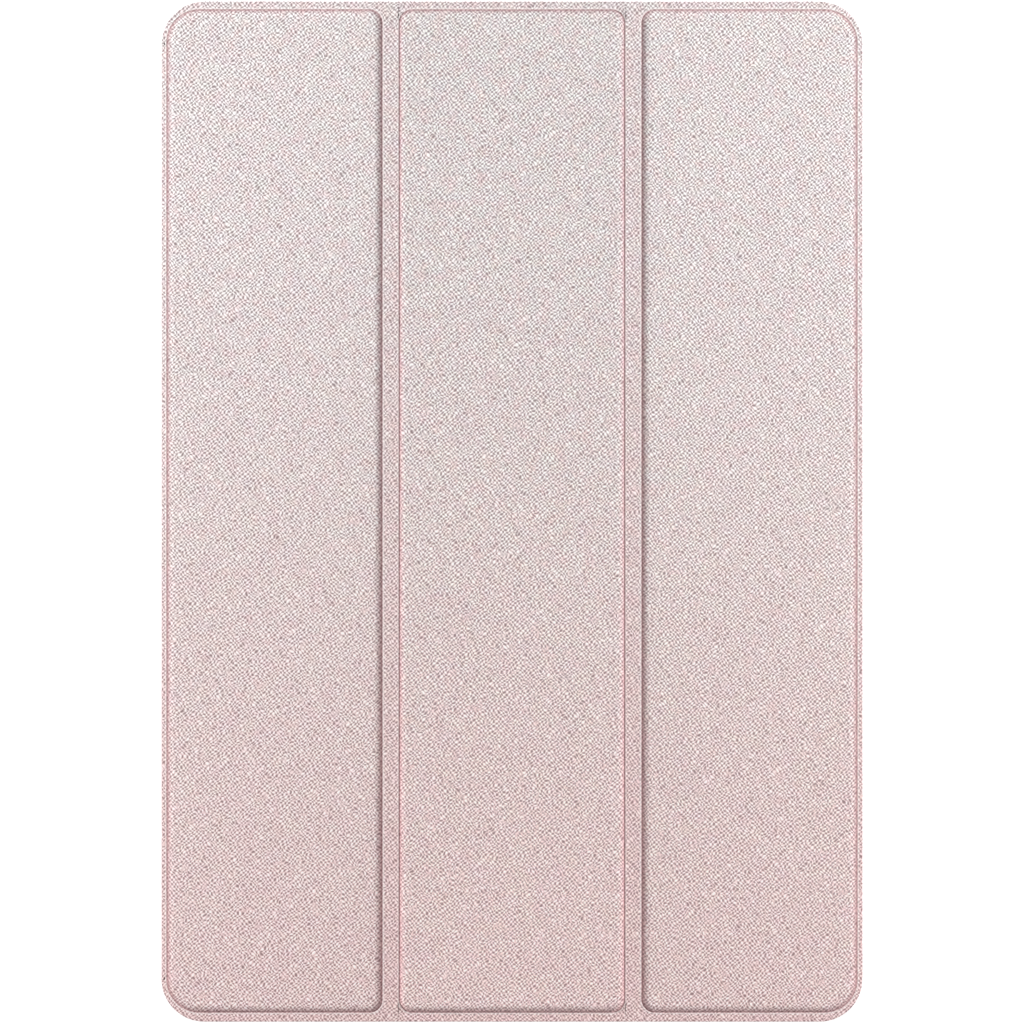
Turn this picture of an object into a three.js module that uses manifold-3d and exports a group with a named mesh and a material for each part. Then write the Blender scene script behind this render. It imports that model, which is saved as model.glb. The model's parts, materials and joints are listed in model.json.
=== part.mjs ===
// Slim tri-fold tablet case: a flexible snap-in tray, a wrap-round spine and a cover of three padded
// panels. Millimetres. +X runs from the spine to the cover's free edge, +Y to the case's top edge and
// +Z out of the cover. The origin is the middle of the back face, which lies on the table.
import * as THREE from "three";
import { mergeVertices } from "three/addons/utils/BufferGeometryUtils.js";
import Module from "manifold-3d";

const wasm = await Module();
wasm.setup();

// ---------------------------------------------------------------- driving dimensions

// The tablet that the tray is made for, and how it fits
const TABLET_LENGTH = 247;
const TABLET_WIDTH = 166.8;
const TABLET_THICKNESS = 9;
const TABLET_GAP = 0.4;
const TABLET_HEADROOM = 0.2;

// Tray
const WALL = 1.2;
const BACK = 1.5;
const BACK_EDGE_ROUND = 1.2;
const LIP_HEIGHT = 0.8;
const LIP_REACH = 1.1;

// Layers of the cover and the spine
const SKIN = 0.8;
const LINING = 0.4;
const BOARD = 0.9;
const FOAM = 0.5;
const PAD_SKIN = 0.7;
const SPINE_BOARD = 0.6;

// Cover outline and its three raised pads
const COVER_OVERHANG = 0.4;
const OUTER_CORNER_R = 10.6;
const FLANGE_SIDE = 1.4;
const FLANGE_TOP = 2;
const FLANGE_BOTTOM = 2.2;
const GUTTER = 4.4;
const MIDDLE_PAD_WIDTH = 55.2;
const PAD_INNER_R = 3.1;
const PAD_EDGE = 1.7;
const FOLD_MARGIN = 0.3;
const LINING_INSET = 0.5;

// How far the stiffener board and the foam stay inside a pad's base outline
const BOARD_INSET = 1.2;
const FOAM_INSET = 1.5;

// Rear flap, bonded flush into the back of the tray
const REAR_FLAP_WIDTH = 24;
const FLAP_SKIN = 0.65;
const FLAP_ADHESIVE = 0.15;

// Button covers
const BUTTON_LENGTH = 11;
const BUTTON_HEIGHT = 3.4;
const BUTTON_PROUD = 0.35;
const BUTTON_RIM = 1.1;
const BUTTON_RIM_THICKNESS = 0.5;
const BUTTON_POCKET_DEPTH = 0.5;
const VOLUME_UP_FROM_TOP = 34;
const VOLUME_PITCH = 16;
const POWER_FROM_SIDE = 24;

// Cut-outs in the tray
const CAMERA_WIDTH = 22;
const CAMERA_HEIGHT = 15;
const CAMERA_FROM_SIDE = 21;
const CAMERA_FROM_TOP = 16;
const PORT_WIDTH = 15;
const PORT_HEIGHT = 6;
const SPEAKER_WIDTH = 24;
const SPEAKER_HEIGHT = 3.2;
const SPEAKER_FROM_MIDDLE = 46;
const HEADPHONE_R = 3.6;
const HEADPHONE_FROM_SIDE = 24;
const MICROPHONE_R = 1.2;
const MICROPHONE_FROM_MIDDLE = 16;

// Magnets, let into the boards
const CLOSING_MAGNET = { width: 4, length: 14 };
const CLOSING_MAGNET_PITCH = 84;
const WAKE_MAGNET = { width: 8, length: 8 };
const WAKE_MAGNET_BELOW_CLOSING = 20.5;
const STAND_MAGNET = { width: 5, length: 20 };
const STAND_MAGNET_PITCH = 110;
const MAGNET_FROM_PAD_EDGE = 3.4;

// Running clearance between pieces that are not bonded
const GAP = 0.3;

// Facets of a cover corner, of a small corner such as a button's, and of a rounded edge
const CORNER_STEPS = 8;
const SMALL_CORNER_STEPS = 4;
const EDGE_STEPS = 3;

// ---------------------------------------------------------------- sizes that follow

const CAVITY_WIDTH = TABLET_WIDTH + 2 * TABLET_GAP;
const CAVITY_LENGTH = TABLET_LENGTH + 2 * TABLET_GAP;
const SPINE_THICKNESS = SKIN + SPINE_BOARD + LINING;
const COVER_WIDTH = CAVITY_WIDTH + 2 * WALL + COVER_OVERHANG + GAP + SPINE_THICKNESS;
const COVER_LENGTH = CAVITY_LENGTH + 2 * WALL + 2 * COVER_OVERHANG;

// Across the case
const COVER_RIGHT = COVER_WIDTH / 2;
const COVER_LEFT = -COVER_RIGHT;
const COVER_TOP = COVER_LENGTH / 2;
const COVER_BOTTOM = -COVER_TOP;
const TRAY = {
  left: COVER_LEFT + SPINE_THICKNESS + GAP,
  right: COVER_RIGHT - COVER_OVERHANG,
  bottom: COVER_BOTTOM + COVER_OVERHANG,
  top: COVER_TOP - COVER_OVERHANG,
};
const TRAY_CORNER_R = OUTER_CORNER_R - COVER_OVERHANG;
const PANEL_START = COVER_LEFT + FLANGE_SIDE;
const GUTTER_INNER = MIDDLE_PAD_WIDTH / 2;
const GUTTER_OUTER = GUTTER_INNER + GUTTER;
const PAD_OUTER_R = OUTER_CORNER_R - FLANGE_SIDE;
const SPINE_END = COVER_TOP - OUTER_CORNER_R;
const FLAP_LEFT = TRAY.left + GAP;
const FLAP_RIGHT = TRAY.left + REAR_FLAP_WIDTH;

// Up through the case
const CAVITY_TOP = BACK + TABLET_THICKNESS + TABLET_HEADROOM;
const TRAY_TOP = CAVITY_TOP + LIP_HEIGHT;
const LINING_BOTTOM = TRAY_TOP + GAP;
const SKIN_BOTTOM = LINING_BOTTOM + LINING;
const FLANGE_Z = SKIN_BOTTOM + SKIN;
const BOARD_TOP = SKIN_BOTTOM + BOARD;
const FOAM_TOP = BOARD_TOP + FOAM;
const PAD_TOP = FOAM_TOP + PAD_SKIN;
const SPINE_BOTTOM = BACK;
const SPINE_TOP = TRAY_TOP - 2 * GAP;
const FLAP_RECESS = FLAP_SKIN + FLAP_ADHESIVE;
const BUTTON_Z = BACK + TABLET_THICKNESS / 2;

// What moves: each hinge's axis runs along Y through the middle of its web, and each button slides in.
const HINGE_X = COVER_LEFT + FLANGE_SIDE / 2;
const FOLD_X = (GUTTER_INNER + GUTTER_OUTER) / 2;
const FOLD_Z = (LINING_BOTTOM + FLANGE_Z) / 2;
const HINGES = {
  spine_hinge: { x: HINGE_X, z: SPINE_BOTTOM / 2 },
  cover_hinge: { x: HINGE_X, z: FOLD_Z },
  left_fold: { x: -FOLD_X, z: FOLD_Z },
  right_fold: { x: FOLD_X, z: FOLD_Z },
};
const BUTTON_TRAVEL = 0.4;

// ---------------------------------------------------------------- materials

const finish = (color, roughness, metalness = 0) =>
  new THREE.MeshStandardMaterial({ color, roughness, metalness });

const MATERIALS = {
  coverSkin: () => finish(0xdfc8c6, 0.62),
  lining: () => finish(0xc9b3b2, 0.95),
  board: () => finish(0x8d8780, 0.9),
  foam: () => finish(0xe9e4de, 0.95),
  tray: () => finish(0xe6cfcd, 0.45),
  button: () => finish(0xdcc0be, 0.5),
  adhesive: () => finish(0xefeade, 0.4),
  magnet: () => finish(0xb9bcc0, 0.3, 1),
};

// ---------------------------------------------------------------- shapes and solids

// A rectangle with its own radius at each corner: bottom left, bottom right, top right, top left.
function roundedRectangle(left, right, bottom, top, radii) {
  const [bottomLeft, bottomRight, topRight, topLeft] = radii;
  const shape = new THREE.Shape();
  shape.moveTo(left + bottomLeft, bottom);
  shape.lineTo(right - bottomRight, bottom);
  roundCorner(shape, right - bottomRight, bottom + bottomRight, bottomRight, -Math.PI / 2);
  shape.lineTo(right, top - topRight);
  roundCorner(shape, right - topRight, top - topRight, topRight, 0);
  shape.lineTo(left + topLeft, top);
  roundCorner(shape, left + topLeft, top - topLeft, topLeft, Math.PI / 2);
  shape.lineTo(left, bottom + bottomLeft);
  roundCorner(shape, left + bottomLeft, bottom + bottomLeft, bottomLeft, Math.PI);
  return shape;
}

function roundCorner(shape, x, y, radius, from) {
  if (radius > 0) shape.absarc(x, y, radius, from, from + Math.PI / 2, false);
}

// The same rectangle drawn in on every side. A corner that would turn inside out becomes square.
function insetRectangle({ left, right, bottom, top, radii }, inset) {
  return roundedRectangle(
    left + inset,
    right - inset,
    bottom + inset,
    top - inset,
    radii.map((radius) => Math.max(radius - inset, 0)),
  );
}

// A manifold solid from any closed three.js geometry.
function solid(geometry) {
  const bare = geometry.clone();
  bare.deleteAttribute("normal");
  bare.deleteAttribute("uv");
  const merged = mergeVertices(bare, 1e-4);
  return new wasm.Manifold(
    new wasm.Mesh({
      numProp: 3,
      vertProperties: new Float32Array(merged.attributes.position.array),
      triVerts: new Uint32Array(merged.index.array),
    }),
  );
}

// A flat plate between two heights.
function plate(shape, from, to, curveSegments = CORNER_STEPS) {
  const geometry = new THREE.ExtrudeGeometry(shape, {
    depth: to - from,
    bevelEnabled: false,
    curveSegments,
  });
  return solid(geometry.translate(0, 0, from));
}

// A plate from the height "foot" to "to" whose upper edge is rounded from the height "from" up, where it
// leaves the outline, to "edge" inside the outline at the top.
function crownedPlate(rectangle, foot, from, to, edge) {
  const shape = insetRectangle(rectangle, 0);
  const geometry = new THREE.ExtrudeGeometry(shape, {
    depth: GAP,
    bevelEnabled: true,
    bevelThickness: to - from,
    bevelSize: edge,
    bevelOffset: -edge,
    bevelSegments: EDGE_STEPS,
    curveSegments: CORNER_STEPS,
  });
  const bothRounded = solid(geometry.translate(0, 0, from - GAP));
  const { left, right, bottom, top } = rectangle;
  const lowerHalf = block(left, right, bottom, top, 2 * from - to - 2 * GAP, from);
  return bothRounded.subtract(lowerHalf).add(plate(shape, foot, from));
}

function block(left, right, bottom, top, from, to) {
  const geometry = new THREE.BoxGeometry(right - left, top - bottom, to - from);
  return solid(geometry.translate((left + right) / 2, (bottom + top) / 2, (from + to) / 2));
}

// A block with a centre, a width along X and a length along Y.
function centredBlock(x, y, width, length, from, to) {
  return block(x - width / 2, x + width / 2, y - length / 2, y + length / 2, from, to);
}

// A cross-section drawn in X and Z, run along Y over the straight part of the spine.
function alongSpine(points) {
  const shape = new THREE.Shape(points.map(([x, z]) => new THREE.Vector2(x, -z)));
  const geometry = new THREE.ExtrudeGeometry(shape, { depth: 2 * SPINE_END, bevelEnabled: false });
  return solid(geometry.rotateX(-Math.PI / 2).translate(0, -SPINE_END, 0));
}

function meshOf(name, made, material) {
  const { vertProperties, triVerts } = made.getMesh();
  const geometry = new THREE.BufferGeometry();
  geometry.setAttribute("position", new THREE.BufferAttribute(new Float32Array(vertProperties), 3));
  geometry.setIndex(new THREE.BufferAttribute(new Uint32Array(triVerts), 1));
  geometry.computeVertexNormals();
  const mesh = new THREE.Mesh(geometry, material());
  mesh.name = name;
  return mesh;
}

// ---------------------------------------------------------------- tray

const trayRectangle = { ...TRAY, radii: Array(4).fill(TRAY_CORNER_R) };

// The wall that a button sits in: the middle of the button on the wall's outer face, and the turn that
// takes the button's own outward +Z to the wall's outward direction.
const BUTTONS = {
  power_button_pad: {
    at: [TRAY.right - POWER_FROM_SIDE, TRAY.top, BUTTON_Z],
    turn: new THREE.Euler(-Math.PI / 2, 0, 0),
  },
  volume_up_pad: {
    at: [TRAY.right, TRAY.top - VOLUME_UP_FROM_TOP, BUTTON_Z],
    turn: new THREE.Euler(Math.PI / 2, Math.PI / 2, 0),
  },
  volume_down_pad: {
    at: [TRAY.right, TRAY.top - VOLUME_UP_FROM_TOP - VOLUME_PITCH, BUTTON_Z],
    turn: new THREE.Euler(Math.PI / 2, Math.PI / 2, 0),
  },
};

// A rounded bar about the button's axis, between two depths below (negative) or above the wall's outer face.
function buttonBar(grow, from, to) {
  const halfLength = BUTTON_LENGTH / 2 + grow;
  const halfHeight = BUTTON_HEIGHT / 2 + grow;
  const radius = Math.min(halfHeight, BUTTON_HEIGHT / 2);
  const shape = roundedRectangle(-halfLength, halfLength, -halfHeight, halfHeight, Array(4).fill(radius));
  return plate(shape, from, to, SMALL_CORNER_STEPS);
}

function placed(made, { at, turn }) {
  const matrix = new THREE.Matrix4().makeRotationFromEuler(turn).setPosition(...at);
  return made.transform(matrix.toArray());
}

// The rim behind the window keeps the pad in the wall: it lies one gap below the pocket's shoulder.
const buttonShoulder = -(WALL - BUTTON_POCKET_DEPTH);
const buttonRimTop = buttonShoulder - GAP;

function buttonPad(place) {
  const stem = buttonBar(0, buttonRimTop, BUTTON_PROUD);
  const rim = buttonBar(BUTTON_RIM, buttonRimTop - BUTTON_RIM_THICKNESS, buttonRimTop);
  return placed(stem.add(rim), place);
}

function buttonWindow(place) {
  const window = buttonBar(GAP, -2 * WALL, WALL);
  const pocket = buttonBar(BUTTON_RIM + GAP, -2 * WALL, buttonShoulder);
  return placed(window.add(pocket), place);
}

// A slot through the top or bottom wall.
function wallSlot(x, y, width, height) {
  const shape = roundedRectangle(-width / 2, width / 2, -height / 2, height / 2, Array(4).fill(height / 2));
  return placed(plate(shape, -2 * WALL, 2 * WALL, SMALL_CORNER_STEPS), {
    at: [x, y, BUTTON_Z],
    turn: new THREE.Euler(-Math.PI / 2, 0, 0),
  });
}

function backShell() {
  // The outer body, drawn face down so that the rounded edge runs round its back, then turned over
  const faceDown = crownedPlate(trayRectangle, -TRAY_TOP, -BACK_EDGE_ROUND, 0, BACK_EDGE_ROUND);
  let tray = faceDown.transform(new THREE.Matrix4().makeScale(1, -1, -1).toArray());
  tray = tray.subtract(plate(insetRectangle(trayRectangle, WALL), BACK, CAVITY_TOP));
  const mouth = insetRectangle(trayRectangle, WALL + LIP_REACH);
  tray = tray.subtract(plate(mouth, CAVITY_TOP - GAP, TRAY_TOP + GAP));

  // Recess for the rear flap, open at the spine side
  const recessEnd = SPINE_END + GAP;
  tray = tray.subtract(
    block(TRAY.left - GAP, FLAP_RIGHT + GAP, -recessEnd, recessEnd, -GAP, FLAP_RECESS),
  );

  // Camera, charging port, speakers, headphones and microphone
  const cameraX = TRAY.right - CAMERA_FROM_SIDE;
  const cameraY = TRAY.top - CAMERA_FROM_TOP;
  const camera = roundedRectangle(
    cameraX - CAMERA_WIDTH / 2,
    cameraX + CAMERA_WIDTH / 2,
    cameraY - CAMERA_HEIGHT / 2,
    cameraY + CAMERA_HEIGHT / 2,
    Array(4).fill(CAMERA_HEIGHT / 3),
  );
  const middle = (TRAY.left + TRAY.right) / 2;
  const cutOuts = [
    plate(camera, -GAP, BACK + GAP),
    wallSlot(middle, TRAY.bottom, PORT_WIDTH, PORT_HEIGHT),
    wallSlot(middle - SPEAKER_FROM_MIDDLE, TRAY.bottom, SPEAKER_WIDTH, SPEAKER_HEIGHT),
    wallSlot(middle + SPEAKER_FROM_MIDDLE, TRAY.bottom, SPEAKER_WIDTH, SPEAKER_HEIGHT),
    wallSlot(middle + MICROPHONE_FROM_MIDDLE, TRAY.bottom, 2 * MICROPHONE_R, 2 * MICROPHONE_R),
    wallSlot(TRAY.left + HEADPHONE_FROM_SIDE, TRAY.top, 2 * HEADPHONE_R, 2 * HEADPHONE_R),
    ...Object.values(BUTTONS).map(buttonWindow),
  ];
  return cutOuts.reduce((left, cut) => left.subtract(cut), tray);
}

function trayPieces() {
  const flapPlate = (from, to) => block(FLAP_LEFT, FLAP_RIGHT, -SPINE_END, SPINE_END, from, to);
  const pieces = [
    meshOf("back_shell", backShell(), MATERIALS.tray),
    meshOf("rear_flap_skin", flapPlate(0, FLAP_SKIN), MATERIALS.coverSkin),
    meshOf("rear_flap_adhesive", flapPlate(FLAP_SKIN, FLAP_RECESS), MATERIALS.adhesive),
  ];
  for (const [name, place] of Object.entries(BUTTONS)) {
    pieces.push(meshOf(name, buttonPad(place), MATERIALS.button));
  }
  return pieces;
}

// ---------------------------------------------------------------- spine and its two hinge webs

function spinePieces() {
  const boardLeft = COVER_LEFT + SKIN;
  const liningLeft = boardLeft + SPINE_BOARD;
  const liningRight = liningLeft + LINING;
  const strip = (left, right, from, to) => block(left, right, -SPINE_END, SPINE_END, from, to);

  // The skin's outside corner at an end of the spine: a quarter round up (1) or down (-1) to "flat"
  const outsideCorner = (flat, way) =>
    Array.from({ length: EDGE_STEPS + 1 }, (_, i) => {
      const angle = (i / EDGE_STEPS) * (Math.PI / 2);
      return [COVER_LEFT + SKIN * (1 - Math.cos(angle)), flat - way * SKIN * (1 - Math.sin(angle))];
    });
  const frontSkin = alongSpine([
    [boardLeft, SPINE_TOP],
    [COVER_LEFT, SPINE_TOP],
    ...outsideCorner(FLANGE_Z, 1),
    [PANEL_START, FLANGE_Z],
    [PANEL_START, SKIN_BOTTOM],
    [boardLeft, SKIN_BOTTOM],
  ]);
  const rearSkin = alongSpine([
    [boardLeft, SPINE_BOTTOM],
    [COVER_LEFT, SPINE_BOTTOM],
    ...outsideCorner(0, -1),
    [FLAP_LEFT, 0],
    [FLAP_LEFT, FLAP_SKIN],
    [boardLeft, FLAP_SKIN],
  ]);
  const { coverSkin, lining, board } = MATERIALS;
  return [
    meshOf("spine_skin", strip(COVER_LEFT, boardLeft, SPINE_BOTTOM, SPINE_TOP), coverSkin),
    meshOf("spine_board", strip(boardLeft, liningLeft, SPINE_BOTTOM, SPINE_TOP), board),
    meshOf("spine_lining", strip(liningLeft, liningRight, SPINE_BOTTOM, SPINE_TOP), lining),
    meshOf("spine_web_front_skin", frontSkin, coverSkin),
    meshOf("spine_web_front_lining", strip(liningLeft, liningRight, SPINE_TOP, LINING_BOTTOM), lining),
    meshOf("spine_web_rear_skin", rearSkin, coverSkin),
    meshOf("spine_web_rear_lining", strip(liningLeft, liningRight, FLAP_SKIN, SPINE_BOTTOM), lining),
  ];
}

// ---------------------------------------------------------------- cover panels

const PAD_BOTTOM_Y = COVER_BOTTOM + FLANGE_BOTTOM;
const PAD_TOP_Y = COVER_TOP - FLANGE_TOP;

// Each panel: the stretch of the cover it takes, its pad's base outline, and the magnets in its board.
const PANELS = {
  left: {
    from: COVER_LEFT,
    to: -GUTTER_OUTER + FOLD_MARGIN,
    pad: {
      left: PANEL_START,
      right: -GUTTER_OUTER,
      radii: [PAD_OUTER_R, PAD_INNER_R, PAD_INNER_R, PAD_OUTER_R],
    },
    magnets: [-1, 1].map((side) => ({
      name: side < 0 ? "stand_magnet_lower" : "stand_magnet_upper",
      x: PANEL_START + MAGNET_FROM_PAD_EDGE + STAND_MAGNET.width / 2,
      y: (side * STAND_MAGNET_PITCH) / 2,
      ...STAND_MAGNET,
    })),
  },
  middle: {
    from: -GUTTER_INNER - FOLD_MARGIN,
    to: GUTTER_INNER + FOLD_MARGIN,
    pad: {
      left: -GUTTER_INNER,
      right: GUTTER_INNER,
      radii: Array(4).fill(PAD_INNER_R),
    },
    magnets: [],
  },
  right: {
    from: GUTTER_OUTER - FOLD_MARGIN,
    to: COVER_RIGHT,
    pad: {
      left: GUTTER_OUTER,
      right: COVER_RIGHT - FLANGE_SIDE,
      radii: [PAD_INNER_R, PAD_OUTER_R, PAD_OUTER_R, PAD_INNER_R],
    },
    magnets: [
      ...[-1, 0, 1].map((step) => ({
        name: "closing_magnet_" + ["lower", "middle", "upper"][step + 1],
        x: COVER_RIGHT - FLANGE_SIDE - MAGNET_FROM_PAD_EDGE - CLOSING_MAGNET.width / 2,
        y: step * CLOSING_MAGNET_PITCH,
        ...CLOSING_MAGNET,
      })),
      {
        name: "wake_magnet",
        x: COVER_RIGHT - FLANGE_SIDE - MAGNET_FROM_PAD_EDGE - WAKE_MAGNET.width / 2,
        y: CLOSING_MAGNET_PITCH - WAKE_MAGNET_BELOW_CLOSING,
        ...WAKE_MAGNET,
      },
    ],
  },
};

// The cover's outline between two heights, drawn in by "inset" and kept between two X positions.
// Over the spine's straight part it starts at the hinge web, whose strip belongs to the web.
function coverSlice(from, to, inset, bottom, top) {
  const cover = {
    left: COVER_LEFT,
    right: COVER_RIGHT,
    bottom: COVER_BOTTOM,
    top: COVER_TOP,
    radii: Array(4).fill(OUTER_CORNER_R),
  };
  const past = COVER_WIDTH;
  const webEnd = SPINE_END + GAP;
  return plate(insetRectangle(cover, inset), bottom, top)
    .subtract(block(from - past, from, -past, past, bottom - GAP, top + GAP))
    .subtract(block(to, to + past, -past, past, bottom - GAP, top + GAP))
    .subtract(block(COVER_LEFT - GAP, PANEL_START, -webEnd, webEnd, bottom - GAP, top + GAP));
}

function panelPieces(side) {
  const { from, to, pad, magnets } = PANELS[side];
  const rectangle = { ...pad, bottom: PAD_BOTTOM_Y, top: PAD_TOP_Y };
  const boardPocket = plate(insetRectangle(rectangle, BOARD_INSET - GAP), SKIN_BOTTOM - GAP, BOARD_TOP);
  const foamPocket = plate(insetRectangle(rectangle, FOAM_INSET - GAP), BOARD_TOP - GAP, FOAM_TOP);
  const skin = coverSlice(from, to, 0, SKIN_BOTTOM, FLANGE_Z)
    .add(crownedPlate(rectangle, SKIN_BOTTOM, FLANGE_Z, PAD_TOP, PAD_EDGE))
    .subtract(boardPocket)
    .subtract(foamPocket);
  const foam = plate(insetRectangle(rectangle, FOAM_INSET), BOARD_TOP, FOAM_TOP);
  const wholeBoard = plate(insetRectangle(rectangle, BOARD_INSET), SKIN_BOTTOM, BOARD_TOP);
  const board = magnets.reduce(
    (left, { x, y, width, length }) =>
      left.subtract(
        centredBlock(x, y, width + 2 * GAP, length + 2 * GAP, SKIN_BOTTOM - GAP, BOARD_TOP + GAP),
      ),
    wholeBoard,
  );
  return [
    meshOf(side + "_panel_skin", skin, MATERIALS.coverSkin),
    meshOf(side + "_panel_foam", foam, MATERIALS.foam),
    meshOf(side + "_panel_board", board, MATERIALS.board),
    meshOf(
      side + "_panel_lining",
      coverSlice(from, to, LINING_INSET, LINING_BOTTOM, SKIN_BOTTOM),
      MATERIALS.lining,
    ),
    ...magnets.map(({ name, x, y, width, length }) =>
      meshOf(name, centredBlock(x, y, width, length, SKIN_BOTTOM, BOARD_TOP), MATERIALS.magnet),
    ),
  ];
}

// The strip of skin and lining that bends between two panels.
function foldPieces(side, left, right) {
  const liningEnd = COVER_TOP - LINING_INSET;
  const skin = block(left, right, COVER_BOTTOM, COVER_TOP, SKIN_BOTTOM, FLANGE_Z);
  const lining = block(left, right, -liningEnd, liningEnd, LINING_BOTTOM, SKIN_BOTTOM);
  return [
    meshOf(side + "_fold_skin", skin, MATERIALS.coverSkin),
    meshOf(side + "_fold_lining", lining, MATERIALS.lining),
  ];
}

// ---------------------------------------------------------------- the case

const tabletCase = new THREE.Group();
tabletCase.userData = { hinges: HINGES, buttonTravel: BUTTON_TRAVEL };
tabletCase.add(
  ...trayPieces(),
  ...spinePieces(),
  ...panelPieces("left"),
  ...foldPieces("left", PANELS.left.to, PANELS.middle.from),
  ...panelPieces("middle"),
  ...foldPieces("right", PANELS.middle.to, PANELS.right.from),
  ...panelPieces("right"),
);

export default tabletCase;
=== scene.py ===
import json
import math

import bmesh
import bpy
import numpy as np
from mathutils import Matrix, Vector, noise


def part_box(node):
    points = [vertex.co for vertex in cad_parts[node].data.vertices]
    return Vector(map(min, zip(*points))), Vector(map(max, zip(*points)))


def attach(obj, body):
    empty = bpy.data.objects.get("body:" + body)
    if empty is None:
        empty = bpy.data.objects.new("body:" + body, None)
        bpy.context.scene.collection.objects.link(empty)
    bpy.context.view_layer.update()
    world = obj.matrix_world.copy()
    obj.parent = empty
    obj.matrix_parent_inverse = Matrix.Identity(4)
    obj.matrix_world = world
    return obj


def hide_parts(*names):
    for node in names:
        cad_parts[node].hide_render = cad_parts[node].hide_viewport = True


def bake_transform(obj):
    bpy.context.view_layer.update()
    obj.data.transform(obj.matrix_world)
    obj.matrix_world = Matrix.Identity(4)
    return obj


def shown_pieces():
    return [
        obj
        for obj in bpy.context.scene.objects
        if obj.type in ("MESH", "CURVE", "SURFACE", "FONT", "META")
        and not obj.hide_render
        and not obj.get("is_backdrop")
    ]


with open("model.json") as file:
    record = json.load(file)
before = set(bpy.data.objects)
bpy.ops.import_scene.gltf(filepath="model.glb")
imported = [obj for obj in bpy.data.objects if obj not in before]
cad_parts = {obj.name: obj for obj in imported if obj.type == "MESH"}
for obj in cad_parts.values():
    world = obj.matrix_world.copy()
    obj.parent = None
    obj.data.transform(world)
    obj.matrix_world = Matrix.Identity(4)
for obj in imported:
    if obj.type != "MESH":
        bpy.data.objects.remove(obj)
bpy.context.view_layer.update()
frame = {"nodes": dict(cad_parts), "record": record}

MM = 0.001

# ---------------- places taken from the frame

MIDDLE_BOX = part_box("middle_panel_skin")
COVER_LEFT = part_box("spine_skin")[0].x
COVER_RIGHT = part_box("right_panel_skin")[1].x
COVER_END = MIDDLE_BOX[1].y
SPINE_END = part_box("spine_skin")[1].y
SPINE_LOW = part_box("spine_skin")[0].z
SKIN_LOW, FLANGE_TOP = (corner.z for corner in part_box("left_fold_skin"))
SKIN = FLANGE_TOP - SKIN_LOW
PAD_TOP = MIDDLE_BOX[1].z
FOAM_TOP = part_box("middle_panel_foam")[1].z
BOARD_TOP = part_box("middle_panel_board")[1].z
LINING_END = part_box("left_fold_lining")[1].y

# ---------------- sizes of the soft parts

OUTER_CORNER_R = 10.6 * MM
PAD_OUTER_R = 7.9 * MM
PAD_INNER_R = 3.1 * MM
SQUARE_R = 0.04 * MM  # a corner that has to look square
PAD_EDGE = 1.7 * MM  # width of the pad's rounded shoulder
PAD_EDGE_FULLNESS = 1.25  # 1 makes the shoulder a quarter of an ellipse, and more makes it flatter
PAD_CROWN = 0.1 * MM  # how far the foam lifts the middle of a pad
PAD_UNEVEN = 0.05 * MM  # how far that lift wanders, over patches of this size
PAD_UNEVEN_PATCH = 22 * MM
BOARD_INSET = 0.95 * MM  # the stiffener board lies this far inside the foot of its pad, at its ends
OUTER_INSET = 1.05 * MM  # and along the cover's outer edges
FOLD_INSET = 1.18 * MM  # and beside the folds
POCKET_BOARD, POCKET_FOAM = 0.9 * MM, 1.2 * MM  # walls of the pocket under the skin, from the pad's foot
GROOVE_WIDTH, GROOVE_DEPTH = 0.36 * MM, 0.16 * MM
SPINE_BEND_FLAT = 0.9 * MM  # how far the spine's skin reaches onto the front before the panel's begins
FLAT_PRESSED = 0.16  # how hard the unpadded skin was pressed, from 0 to 1
SLIT = 0.25 * MM  # from the spine skin's end to the corner of the front panel
SLIT_CLEARANCE = 0.04 * MM  # the spine's skin ends this far short of the slit's far side
LINING_PINCH = 0.02 * MM  # the lining is this much thinner than its CAD, so that it doesn't touch the board
FREE_SIDES = {"left": "lbt", "middle": "bt", "right": "rbt"}  # the panels' sides that no other panel adjoins

# ---------------- sizes of the tray, as its CAD has them

TRAY_CORNER_R = 10.2 * MM
WALL = 1.2 * MM
BACK = 1.5 * MM
BACK_EDGE_R = 1.2 * MM
LIP_HEIGHT, LIP_REACH = 0.8 * MM, 1.1 * MM
SPEAKER = (24 * MM, 3.2 * MM)
SPEAKER_FROM_MIDDLE = 46 * MM
MICROPHONE_R = 1.2 * MM
MICROPHONE_FROM_MIDDLE = 16 * MM
PORT = (15 * MM, 6 * MM)
HEADPHONE_R = 3.6 * MM
CAMERA = (22 * MM, 15 * MM)
BUTTON_RIM, BUTTON_RIM_THICKNESS = 1.1 * MM, 0.5 * MM
BUTTON_POCKET = 0.5 * MM
BUTTON_PROUD = 0.35 * MM
GAP = 0.3 * MM

# roundings of the tray's edges and holes, chosen here
FLOOR_R = 0.7 * MM  # inside, where the wall meets the floor
CREST_R = 0.75 * MM  # outside, at the top of the wall
HOLE_EDGE_R = 0.4 * MM
CAMERA_EDGE_R = 0.55 * MM
BUTTON_WINDOW_EDGE_R = 0.25 * MM
BUTTON_EDGE = 0.45 * MM
THROUGH = 3 * MM  # how far a cutter reaches into the tray and out of it

# ---------------- colours, and how finely the meshes are cut

# the skin's colour in the pits and on the ribs of its weave, against its mean: painted shade in the pits and
# a painted highlight on the ribs
WEAVE_PITS_PAINTED_SHADE = (0.40, 0.35, 0.36, 1.0)
WEAVE_RIBS_PAINTED_HIGHLIGHT = (1.62, 1.69, 1.68, 1.0)
# its colour from the cover's bottom to its top, paler and greyer towards the top as a painted reflection of
# the light from above; the end shades lie this many millimetres from the middle
SKIN_SHADES = ((228, 199, 198), (223, 200, 199), (219, 204, 203), (217, 207, 207), (216, 208, 208))
SKIN_SHADES_REACH = 125.0

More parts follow.
